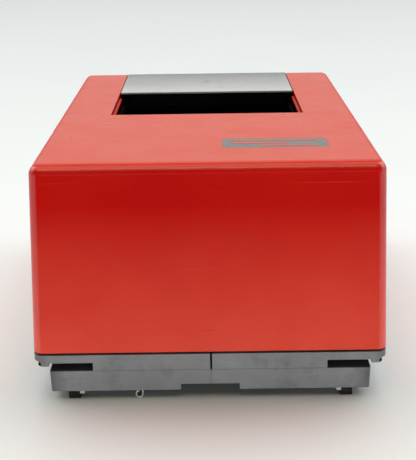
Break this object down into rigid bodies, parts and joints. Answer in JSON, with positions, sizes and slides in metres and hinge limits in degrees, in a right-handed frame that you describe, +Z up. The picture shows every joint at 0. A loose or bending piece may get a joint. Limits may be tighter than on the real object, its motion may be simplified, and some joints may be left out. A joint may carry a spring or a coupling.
{
  "type": "burner flame safeguard control",
  "caption": "Box-shaped burner control: red dust cover with a notched top window, grey plug-in module lid, dark display pocket, grey chassis tray on a contact block with feet.",
  "frame": {"origin": "centre of the footprint, on the surface that the feet stand on", "axes": "+Z up out of the cover's top, +Y along the length from the nameplate end to the programmer end, +X to the right when looking along +Y"},
  "size_m": [0.197, 0.302, 0.135],
  "materials": {
    "cover_red": "satin moulded plastic with a fine grain",
    "print_dark": "dark printed plate",
    "chassis_grey": "satin dark grey moulding",
    "foot_black": "matt",
    "lid_grey": "satin grey moulding",
    "cradle_black": "matt black moulding",
    "cage_black": "matt black moulding",
    "module_black": "fine grained black moulding",
    "connector_plastic": "moulded",
    "board_green": "glass-epoxy board with green solder mask",
    "contact_metal": "tin-plated spring bronze",
    "steel_zinc": "zinc-plated steel",
    "core_steel": "varnished laminations",
    "winding_copper": "taped copper winding",
    "relay_case": "sealed moulded case",
    "capacitor_sleeve": "shrink sleeve on an aluminium can",
    "film_yellow": "moulded box",
    "resistor_white": "ceramic body",
    "sink_aluminium": "extruded",
    "epoxy_black": "moulded epoxy",
    "fuse_glass": "clear tube with nickel end caps",
    "dip_blue": "moulded",
    "switch_white": "moulded",
    "button_red": "moulded",
    "led_red": "diffuse lens",
    "jack_plastic": "insulated test socket"
  },
  "bodies": {
    "chassis": {"chassis_tray": "chassis_grey", "lower_block": "chassis_grey", "feet": "foot_black", "mount_hooks": "steel_zinc", "contact_row_left": "contact_metal", "contact_row_right": "contact_metal", "cover_springs": "steel_zinc", "motherboard": "board_green", "board_screws": "steel_zinc", "display_cradle": "cradle_black", "cradle_posts": "cage_black", "cradle_screws": "steel_zinc", "display_jack": "cradle_black", "programmer_cage": "cage_black", "amplifier_cage": "cage_black", "programmer_connector": "connector_plastic", "amplifier_connector": "connector_plastic", "relay_1": "relay_case", "relay_2": "relay_case", "relay_3": "relay_case", "relay_4": "relay_case", "relay_5": "relay_case", "transformer_core": "core_steel", "transformer_bobbin": "connector_plastic", "transformer_winding": "winding_copper", "transformer_bracket": "steel_zinc", "transformer_screws": "steel_zinc", "electrolytic_capacitors": "capacitor_sleeve", "film_capacitors": "film_yellow", "dropping_resistors": "resistor_white", "heat_sink": "sink_aluminium", "voltage_regulator": "epoxy_black", "fuse_clips": "contact_metal", "fuse": "fuse_glass"},
    "retaining_screw": {"retaining_screw": "steel_zinc", "screw_clip": "steel_zinc"},
    "dust_cover": {"dust_cover": "cover_red", "nameplate": "print_dark"},
    "programmer_module": {"programmer_lid": "lid_grey", "programmer_housing": "module_black", "programmer_board": "board_green", "processor_chip": "epoxy_black", "dip_switch_body": "dip_blue", "toggle_body": "epoxy_black", "reset_body": "epoxy_black", "status_leds": "led_red", "test_jacks": "jack_plastic"},
    "amplifier_module": {"amplifier_housing": "module_black", "amplifier_board": "board_green", "amplifier_jack": "jack_plastic"},
    "reset_button": {"reset_button": "button_red"},
    "run_check_lever": {"run_check_lever": "steel_zinc"},
    "dip_slider_1": {"dip_slider_1": "switch_white"},
    "dip_slider_2": {"dip_slider_2": "switch_white"},
    "dip_slider_3": {"dip_slider_3": "switch_white"},
    "dip_slider_4": {"dip_slider_4": "switch_white"},
    "dip_slider_5": {"dip_slider_5": "switch_white"},
    "dip_slider_6": {"dip_slider_6": "switch_white"}
  },
  "joints": [
    {"name": "cover_lift", "type": "slide", "parent": "chassis", "child": "dust_cover", "axis": [0, 0, 1], "range_m": [0, 0.115]},
    {"name": "programmer_pull", "type": "slide", "parent": "chassis", "child": "programmer_module", "axis": [0, 0, 1], "range_m": [0, 0.105]},
    {"name": "amplifier_pull", "type": "slide", "parent": "chassis", "child": "amplifier_module", "axis": [0, 0, 1], "range_m": [0, 0.0065]},
    {"name": "reset_press", "type": "slide", "parent": "programmer_module", "child": "reset_button", "axis": [1, 0, 0], "range_m": [0, 0.0015], "stiffness_N_per_m": 400, "springref_m": -0.0003},
    {"name": "run_check_throw", "type": "hinge", "parent": "programmer_module", "child": "run_check_lever", "pos_m": [-0.0536, 0.106, 0.106], "axis": [0, 1, 0], "range_deg": [-12, 12]},
    {"name": "retaining_screw_turn", "type": "hinge", "parent": "chassis", "child": "retaining_screw", "pos_m": [0, -0.066, 0.03], "axis": [0, 0, 1], "continuous": true},
    {"name": "dip_1_slide", "type": "slide", "parent": "programmer_module", "child": "dip_slider_1", "axis": [0, 0, 1], "range_m": [0, 0.0015]},
    {"name": "dip_2_slide", "type": "slide", "parent": "programmer_module", "child": "dip_slider_2", "axis": [0, 0, 1], "range_m": [0, 0.0015]},
    {"name": "dip_3_slide", "type": "slide", "parent": "programmer_module", "child": "dip_slider_3", "axis": [0, 0, 1], "range_m": [0, 0.0015]},
    {"name": "dip_4_slide", "type": "slide", "parent": "programmer_module", "child": "dip_slider_4", "axis": [0, 0, 1], "range_m": [0, 0.0015]},
    {"name": "dip_5_slide", "type": "slide", "parent": "programmer_module", "child": "dip_slider_5", "axis": [0, 0, 1], "range_m": [0, 0.0015]},
    {"name": "dip_6_slide", "type": "slide", "parent": "programmer_module", "child": "dip_slider_6", "axis": [0, 0, 1], "range_m": [0, 0.0015]}
  ]
}
